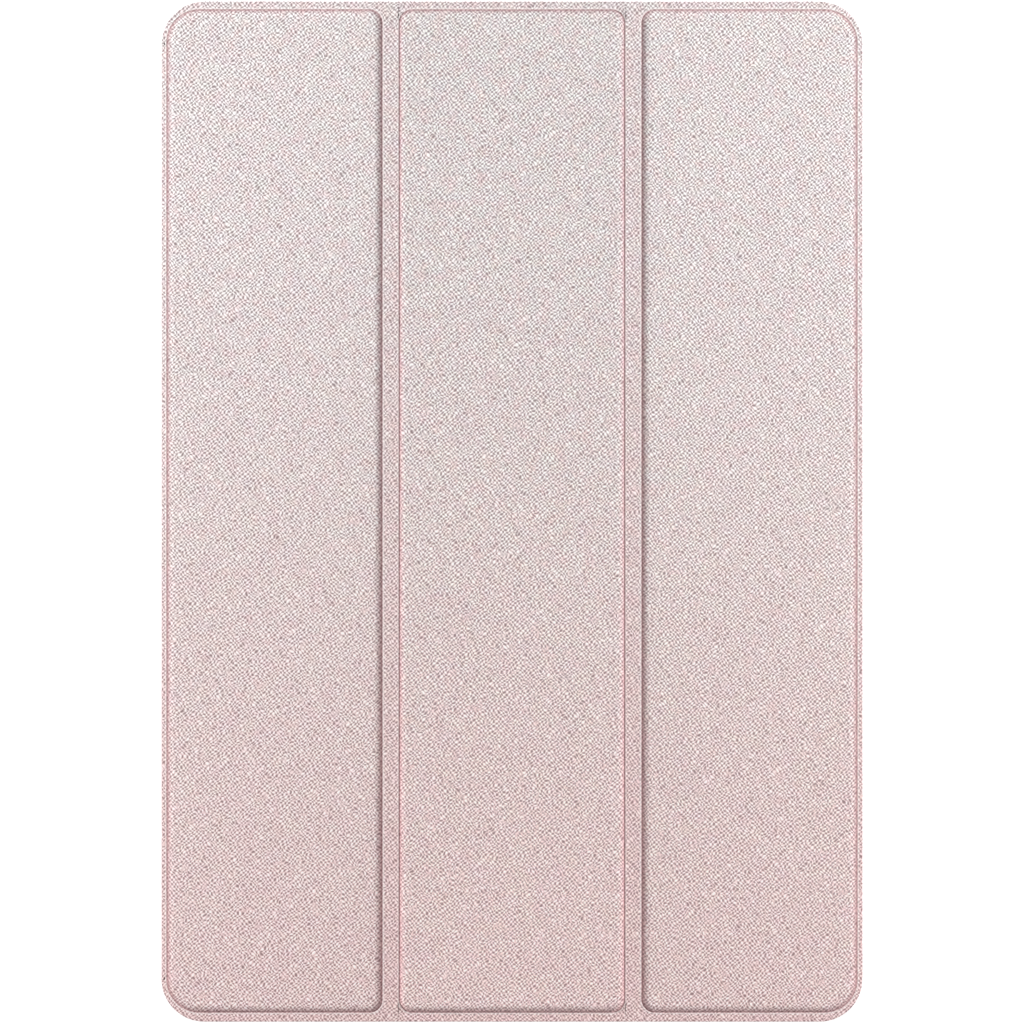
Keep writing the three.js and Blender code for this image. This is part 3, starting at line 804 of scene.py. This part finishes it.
def flat_sheet(outline, free, thickness, steps, relief=no_lift):
    """A thin flat sheet with soft edges on its free sides; z is the depth below its outer face."""
    half = thickness / 2
    rings = []
    inner_edge = ((1.0, 0.32), (0.98, 0.17), (0.9, 0.05), (0.6, 0.0))
    outer_edge = ((0.4, 0.0), (0.1, 0.05), (0.02, 0.17), (0.0, 0.32))
    for share, inset in inner_edge + outer_edge:
        rings.append(ring(outline.inset(inset * half, free), share * thickness, steps))
    return closed_stack(rings, steps, lift=relief)


def bent(points, outside, inside, thickness):
    """Lays flat points round a bend: x runs along the matched lines, and z is the depth between them."""
    outside, inside = np.array(outside), np.array(inside)
    middle = (outside + inside) / 2
    run = np.concatenate([[0], np.cumsum(np.linalg.norm(np.diff(middle, axis=0), axis=1))])
    share = (points[:, 2] / thickness)[:, None]
    outer = np.column_stack([np.interp(points[:, 0], run, outside[:, k]) for k in (0, 1)])
    inner = np.column_stack([np.interp(points[:, 0], run, inside[:, k]) for k in (0, 1)])
    section = outer + (inner - outer) * share
    return np.column_stack([section[:, 0], points[:, 1], section[:, 1]])


def run_of(outside, inside):
    """The length of the line midway between two matched lines."""
    middle = (np.array(outside) + np.array(inside)) / 2
    return float(np.linalg.norm(np.diff(middle, axis=0), axis=1).sum())


def bent_sheet(name, outside, inside, end, free, corners, material, columns, coordinate=None, creases=()):
    """A sheet that follows a bend; creases are dented lines at those heights on its outer side, with painted
    shade along them.
    """
    thickness = float(np.linalg.norm(np.array(outside[0]) - np.array(inside[0])))
    length = run_of(outside, inside)
    flat = Outline(0, length, -end, end, *corners)
    steps = (columns, 100, 8)

    def relief(points):
        depth = np.zeros(len(points))
        for crease in creases:
            depth += 0.12 * MM * np.exp(-(((points[:, 0] - crease) / (0.28 * MM)) ** 2))
        return depth

    points, faces = flat_sheet(flat, free, thickness, steps, relief)
    piece = piece_from(name, bent(points, outside, inside, thickness), faces, material, coordinate)
    pressed_and_shade = np.full(len(points), FLAT_PRESSED)
    for crease in creases:
        # painted shade along each crease, over the evenly pressed sheet
        pressed_and_shade += np.exp(-(((points[:, 0] - crease) / (0.4 * MM)) ** 2)) * (points[:, 2] < thickness / 2)
    mark(piece, "pressed_and_shade", lambda places: np.clip(pressed_and_shade, 0, 1))
    return piece, length


def spine_cover():
    """The skin over the spine, which bends onto the front and joins the left panel's skin there."""
    inner_x = COVER_LEFT + SKIN
    outer_r, inner_r = 0.4 * MM, 0.05 * MM
    flat_end = COVER_LEFT + SPINE_BEND_FLAT
    outside = [(COVER_LEFT, SPINE_LOW)]
    outside += round_turn((COVER_LEFT + outer_r, FLANGE_TOP - outer_r), outer_r, 180, 90)
    outside += [(flat_end, FLANGE_TOP)]
    inside = [(inner_x, SPINE_LOW)]
    inside += round_turn((inner_x + inner_r, SKIN_LOW - inner_r), inner_r, 180, 90)
    inside += [(flat_end, SKIN_LOW)]
    end = SPINE_END + SLIT - SLIT_CLEARANCE
    square = (SQUARE_R, SQUARE_R)
    creases = (0.35 * MM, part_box("spine_board")[1].z - SPINE_LOW)
    piece, length = bent_sheet(
        "spine_cover", outside, inside, end, "bt", square, SKIN_MATERIAL, 56, sheet_place, creases
    )
    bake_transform(piece)
    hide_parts("spine_skin", "spine_web_front_skin")


def rear_cover():
    """The skin glued to the tray's back, which bends up to the spine."""
    low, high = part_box("rear_flap_skin")
    inner_x = COVER_LEFT + SKIN
    outer_r, inner_r = 0.6 * MM, 0.05 * MM
    outside = [(high.x, 0.0), (low.x, 0.0)]
    outside += round_turn((COVER_LEFT + outer_r, outer_r), outer_r, 270, 180)
    outside += [(COVER_LEFT, SPINE_LOW)]
    inside = [(high.x, high.z), (low.x, high.z)]
    inside += round_turn((inner_x + inner_r, high.z + inner_r), inner_r, 270, 180)
    inside += [(inner_x, SPINE_LOW)]
    end = SPINE_END
    corners = (2.0 * MM, SQUARE_R)
    creases = (high.x - low.x - 0.2 * MM, 1.0 * MM)
    piece, length = bent_sheet(
        "rear_cover", outside, inside, end, "lbt", corners, SKIN_MATERIAL, 90, sheet_place, creases
    )
    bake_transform(piece)
    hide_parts("rear_flap_skin", "spine_web_rear_skin")


def upright(x, low, high):
    """A straight line up at x, with a point halfway."""
    return [(x, low), (x, (low + high) / 2), (x, high)]


def spine_linings():
    """The lining inside the spine, and the narrow strip of it that bends to the rear flap."""
    low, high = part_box("spine_lining")
    top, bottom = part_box("spine_web_front_lining")[1].z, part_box("spine_web_rear_lining")[0].z
    square = (SQUARE_R, SQUARE_R)
    outside, inside = upright(high.x, low.z, top), upright(low.x, low.z, top)
    creases = (0.4 * MM, high.z - low.z)
    front, length = bent_sheet(
        "spine_lining_cover", outside, inside, high.y, "bt", square, LINING_MATERIAL, 40, None, creases
    )
    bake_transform(front)
    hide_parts("spine_lining", "spine_web_front_lining")
    outside, inside = upright(high.x, bottom, low.z), upright(low.x, bottom, low.z)
    rear = bent_sheet("spine_lining_rear_edge", outside, inside, high.y, "bt", square, LINING_MATERIAL, 8)[0]
    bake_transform(rear)
    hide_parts("spine_web_rear_lining")


# ---------------- the panels' linings

def panel_lining(side):
    """The lining of one panel, with the step that the board's edge presses into it."""
    low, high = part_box(side + "_panel_lining")
    whole, free = panel_outline(side), FREE_SIDES[side]
    rim = whole.inset(whole.top - LINING_END, free)
    lining_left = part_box("spine_web_front_lining")[0].x

    def cut(points):
        return cut_for_spine(points, lining_left) if side == "left" else points

    board = pad_foot(side).inset(BOARD_INSET)
    top = high.z - LINING_PINCH
    thickness = top - low.z
    rings = [ring(board, top)]
    rings += between(rings[0], cut(ring(rim.inset(0.2 * MM, free), top)), GUTTER_STEPS)
    for inset_by, share in ((0.2, 1.0), (0.06, 0.88), (0.0, 0.65), (0.0, 0.35), (0.06, 0.12), (0.2, 0.0)):
        rings.append(cut(ring(rim.inset(inset_by * MM, free), low.z + share * thickness)))
    shoulder = ring(board.inset(-0.5 * MM), low.z)
    rings += between(rings[-1], shoulder, GUTTER_STEPS) + [shoulder]
    for out, up in ((0.3, 0.06), (0.12, 0.15), (-0.06, 0.17), (-0.3, 0.1), (-0.6, 0.02), (-1.1, 0.0)):
        rings.append(ring(board.inset(-out * MM), low.z + up * MM))
    points, faces = closed_stack(rings)
    piece = piece_from(side + "_lining_cover", points, faces, LINING_MATERIAL)

    def pressed_and_shade(places):
        # painted shade in the dent that the board's edge presses in, darkest where it is deepest
        return np.clip((places[:, 2] - low.z) / (0.17 * MM), 0, 1) * (places[:, 2] < low.z + 0.2 * MM)

    mark(piece, "pressed_and_shade", pressed_and_shade)
    return piece


def make_linings():
    for side in ("left", "middle", "right"):
        piece = panel_lining(side)
        if side == "middle":
            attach(piece, "middle_panel")
            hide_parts("middle_panel_lining")
            continue
        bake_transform(piece)
        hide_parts(side + "_panel_lining", side + "_fold_lining")


# ---------------- the tray

class Face:
    """A place on the tray's outside: a point, and the ways along the wall, up it and out of it."""

    def __init__(self, centre, along, up, out):
        self.centre, self.along, self.up, self.out = (np.array(v, float) for v in (centre, along, up, out))

    def place(self, points):
        return self.centre + points[:, :1] * self.along + points[:, 1:2] * self.up + points[:, 2:] * self.out


def bar(width, height, grow=0.0):
    """A slot's outline round 0, with ends just short of half circles; grow makes it larger all round."""
    radius = min(width, height) / 2 * 0.98 + grow
    return Outline(-width / 2 - grow, width / 2 + grow, -height / 2 - grow, height / 2 + grow, radius, radius)


def softened_cut(face, width, height, edge, grow=0.0, radius=None):
    """A cutter for a hole whose outer edge is rounded off."""
    levels = [(0.0, -THROUGH)]
    for i in range(6):
        angle = math.radians(90 * i / 5)
        levels.append((edge * (1 - math.cos(angle)), -edge * (1 - math.sin(angle))))
    levels.append((edge, THROUGH))
    rings = []
    for out, level in levels:
        outline = bar(width, height, grow + out)
        if radius is not None:
            outline.left_radius = outline.right_radius = radius + out
        rings.append(ring(outline, level, CUT_STEPS))
    points, faces = closed_stack(rings, CUT_STEPS)
    return face.place(points), faces


def plain_cut(face, width, height, low, high, grow):
    """A cutter with sharp edges, from low to high along the way out."""
    rings = [ring(bar(width, height, grow), level, CUT_STEPS) for level in (low, high)]
    points, faces = closed_stack(rings, CUT_STEPS)
    return face.place(points), faces


def button_faces():
    """Where each button sits on the tray's wall."""
    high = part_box("back_shell")[1]
    faces = {}
    for name in ("power_button_pad", "volume_up_pad", "volume_down_pad"):
        centre = sum(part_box(name), Vector()) / 2
        if name.startswith("power"):
            faces[name] = Face((centre.x, high.y, centre.z), (1, 0, 0), (0, 0, 1), (0, 1, 0))
        else:
            faces[name] = Face((high.x, centre.y, centre.z), (0, 1, 0), (0, 0, 1), (1, 0, 0))
    return faces


def button_size(name):
    """The length and height of what shows of a button, without the rim inside the wall."""
    low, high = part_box(name)
    length = high.x - low.x if name.startswith("power") else high.y - low.y
    return length - 2 * BUTTON_RIM, high.z - low.z - 2 * BUTTON_RIM


def tray_cutters():
    """Cutters for the holes in the tray's lower end, upper end and back, and for its button windows."""
    low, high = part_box("back_shell")
    middle = (low.x + high.x) / 2
    button_low, button_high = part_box("power_button_pad")
    level = (button_low.z + button_high.z) / 2
    openings = {o["name"]: np.array(o["box_m"]) for o in frame["record"]["physics"]["openings"]}
    headphone = openings["headphone_hole"].mean(0)
    camera = openings["camera_cutout"].mean(0)
    along, up = (1, 0, 0), (0, 0, 1)
    lower_end = [
        (0, *PORT),
        (-SPEAKER_FROM_MIDDLE, *SPEAKER),
        (SPEAKER_FROM_MIDDLE, *SPEAKER),
        (MICROPHONE_FROM_MIDDLE, 2 * MICROPHONE_R, 2 * MICROPHONE_R),
    ]
    cutters = []
    for from_middle, width, height in lower_end:
        face = Face((middle + from_middle, low.y, level), along, up, (0, -1, 0))
        cutters.append(softened_cut(face, width, height, HOLE_EDGE_R))
    face = Face((headphone[0], high.y, level), along, up, (0, 1, 0))
    cutters.append(softened_cut(face, 2 * HEADPHONE_R, 2 * HEADPHONE_R, HOLE_EDGE_R))
    face = Face((camera[0], camera[1], 0), along, (0, 1, 0), (0, 0, -1))
    cutters.append(softened_cut(face, *CAMERA, CAMERA_EDGE_R, radius=CAMERA[1] / 3))
    for name, face in button_faces().items():
        size = button_size(name)
        cutters.append(softened_cut(face, *size, BUTTON_WINDOW_EDGE_R, grow=GAP))
        cutters.append(plain_cut(face, *size, -THROUGH, -(WALL - BUTTON_POCKET), BUTTON_RIM + GAP))
    return cutters


def flap_recess():
    """The shallow recess in the tray's back for the rear flap, open at the spine side."""
    low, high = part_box("rear_flap_skin")
    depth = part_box("rear_flap_adhesive")[1].z
    shape = Outline(low.x - 20 * MM, high.x + GAP, -SPINE_END - GAP, SPINE_END + GAP, SQUARE_R, 2.2 * MM)
    levels = [(0.0, depth)]
    edge = 0.25 * MM
    for i in range(5):
        angle = math.radians(90 * i / 4)
        levels.append((edge * (1 - math.cos(angle)), edge * (1 - math.sin(angle))))
    levels.append((edge, -2 * MM))
    rings = [ring(shape.inset(-out, "rbt"), z, CUT_STEPS) for out, z in levels]
    return closed_stack(rings, CUT_STEPS)


def cut_away(piece, cutters):
    """Takes the cutters out of the piece; each cutter is (points, faces)."""
    for number, (points, faces) in enumerate(cutters):
        cutter = piece_from("cutter_" + str(number), points, faces, piece.data.materials[0])
        cut = piece.modifiers.new("cut", "BOOLEAN")
        cut.operation, cut.solver, cut.object = "DIFFERENCE", "EXACT", cutter
        graph = bpy.context.evaluated_depsgraph_get()
        mesh = bpy.data.meshes.new_from_object(piece.evaluated_get(graph))
        piece.modifiers.clear()
        piece.data = mesh
        bpy.data.objects.remove(cutter)


def tray_rings():
    """The tray's rings from its floor up inside the wall, over the lip and down the outside to the back."""
    low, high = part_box("back_shell")
    outer = Outline(low.x, high.x, low.y, high.y, TRAY_CORNER_R, TRAY_CORNER_R)
    top = high.z
    lip_low = top - LIP_HEIGHT
    profile = [(WALL + FLOOR_R, BACK)]
    for i in range(1, 6):
        angle = math.radians(90 * i / 5)
        profile.append((WALL + FLOOR_R * (1 - math.sin(angle)), BACK + FLOOR_R * (1 - math.cos(angle))))
    profile += [(WALL, lip_low - 0.3 * MM), (WALL + 0.06 * MM, lip_low - 0.1 * MM)]
    profile.append((WALL + 0.3 * MM, lip_low))
    bulge = LIP_HEIGHT * 0.4
    bulge_from = WALL + LIP_REACH - bulge
    for i in range(7):
        angle = math.radians(-90 + 180 * i / 6)
        height = LIP_HEIGHT * (1 + math.sin(angle)) / 2
        profile.append((bulge_from + bulge * math.cos(angle), lip_low + height))
    for i in range(7):
        angle = math.radians(90 * i / 6)
        profile.append((CREST_R * (1 - math.sin(angle)), top - CREST_R * (1 - math.cos(angle))))
    for i in range(1, 5):
        profile.append((0, top - CREST_R + (BACK_EDGE_R - top + CREST_R) * i / 5))
    for i in range(9):
        angle = math.radians(90 * i / 8)
        profile.append((BACK_EDGE_R * (1 - math.cos(angle)), BACK_EDGE_R * (1 - math.sin(angle))))
    return [ring(outer.inset(inset), z, TRAY_STEPS) for inset, z in profile]


def make_tray():
    points, faces = closed_stack(tray_rings(), TRAY_STEPS)
    tray = piece_from("tray_shell", points, faces, TRAY_MATERIAL)
    cut_away(tray, [flap_recess()] + tray_cutters())
    if "rest" in tray.data.attributes:
        tray.data.attributes.remove(tray.data.attributes["rest"])
    store_rest(tray)
    smooth(tray, 28)
    tray.modifiers.new("flat faces stay flat", "WEIGHTED_NORMAL").keep_sharp = True
    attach(tray, "tray")
    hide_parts("back_shell")


def button_levels():
    """How far out from the shown part's side, and how high, each ring of a button lies."""
    rim_top = -(WALL - BUTTON_POCKET) - GAP
    rim_low = rim_top - BUTTON_RIM_THICKNESS
    soft, inner = 0.1 * MM, 0.15 * MM
    levels = [(BUTTON_RIM - soft, rim_low), (BUTTON_RIM, rim_low + soft)]
    levels += [(BUTTON_RIM, rim_top - soft), (BUTTON_RIM - soft, rim_top)]
    levels += [(inner, rim_top), (0.0, rim_top + inner)]
    for i in range(7):
        angle = math.radians(90 * i / 6)
        inwards, down = 1 - math.cos(angle), 1 - math.sin(angle)
        levels.append((-BUTTON_EDGE * inwards, BUTTON_PROUD - BUTTON_PROUD * down))
    return levels


def make_buttons():
    for name, face in button_faces().items():
        width, height = button_size(name)
        rings = [ring(bar(width, height, out), level, BUTTON_STEPS) for out, level in button_levels()]
        points, faces = closed_stack(rings, BUTTON_STEPS)
        piece = piece_from(name[: -len("_pad")], face.place(points), faces, BUTTON_MATERIAL)
        body = [b for b, nodes in frame["record"]["behaviour"]["bodies"].items() if name in nodes][0]
        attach(piece, body)
        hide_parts(name)


def dress_cad_nodes():
    """Gives the inner pieces that stay as CAD made them their own materials."""
    materials = {"board": board_material(), "foam": foam_material(), "adhesive": adhesive_material()}
    materials["magnet"] = magnet_material()
    for name, node in frame["nodes"].items():
        kind = next((word for word in materials if word in name), None)
        if kind is None:
            continue
        node.data.materials.clear()
        node.data.materials.append(materials[kind])


# ---------------- everything, in order

make_camera()
make_floor()
make_panels()
spine_cover()
rear_cover()
spine_linings()
make_linings()
make_tray()
make_buttons()
dress_cad_nodes()
make_lights()  # last, because each raking lamp looks up the pieces that it lights
